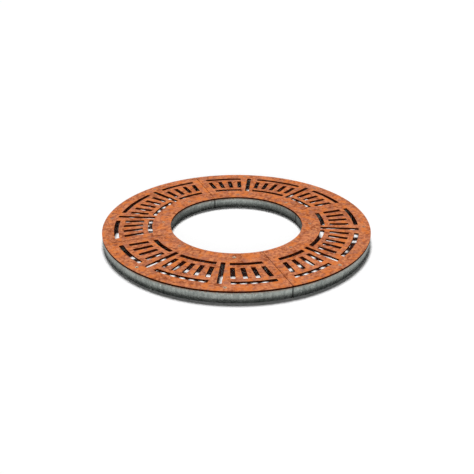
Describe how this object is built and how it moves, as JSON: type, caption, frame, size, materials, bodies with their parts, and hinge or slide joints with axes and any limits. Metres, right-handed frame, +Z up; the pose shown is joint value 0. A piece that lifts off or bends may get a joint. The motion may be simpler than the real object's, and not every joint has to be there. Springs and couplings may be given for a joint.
{
  "type": "tree grate",
  "caption": "Flat round tree grate: slotted weathering-steel plates screwed to a galvanised ring frame, bolted together in quarters around a central tree opening.",
  "frame": {"origin": "centre of the ring on the ground plane, under the hoops", "axes": "+Z up; the seams between the quarters lie along X and Y"},
  "size_m": [1.2, 1.2, 0.053],
  "materials": {
    "weathering_steel": "matte",
    "galvanised_steel": "satin",
    "stainless_steel": "satin",
    "zinc_plated_steel": "satin"
  },
  "bodies": {
    "root": {"top_plate_1": "weathering_steel", "top_plate_2": "weathering_steel", "top_plate_3": "weathering_steel", "top_plate_4": "weathering_steel", "outer_hoop_1": "galvanised_steel", "inner_hoop_1": "galvanised_steel", "end_plate_1_start": "galvanised_steel", "end_plate_1_finish": "galvanised_steel", "outer_lug_1_a": "galvanised_steel", "outer_lug_1_b": "galvanised_steel", "inner_lug_1_a": "galvanised_steel", "inner_lug_1_b": "galvanised_steel", "outer_hoop_2": "galvanised_steel", "inner_hoop_2": "galvanised_steel", "end_plate_2_start": "galvanised_steel", "end_plate_2_finish": "galvanised_steel", "outer_lug_2_a": "galvanised_steel", "outer_lug_2_b": "galvanised_steel", "inner_lug_2_a": "galvanised_steel", "inner_lug_2_b": "galvanised_steel", "outer_hoop_3": "galvanised_steel", "inner_hoop_3": "galvanised_steel", "end_plate_3_start": "galvanised_steel", "end_plate_3_finish": "galvanised_steel", "outer_lug_3_a": "galvanised_steel", "outer_lug_3_b": "galvanised_steel", "inner_lug_3_a": "galvanised_steel", "inner_lug_3_b": "galvanised_steel", "outer_hoop_4": "galvanised_steel", "inner_hoop_4": "galvanised_steel", "end_plate_4_start": "galvanised_steel", "end_plate_4_finish": "galvanised_steel", "outer_lug_4_a": "galvanised_steel", "outer_lug_4_b": "galvanised_steel", "inner_lug_4_a": "galvanised_steel", "inner_lug_4_b": "galvanised_steel", "plate_screws": "stainless_steel", "plate_washers": "stainless_steel", "plate_nuts": "stainless_steel", "coupling_bolts": "zinc_plated_steel", "coupling_washers": "zinc_plated_steel", "coupling_nuts": "zinc_plated_steel"}
  },
  "joints": []
}
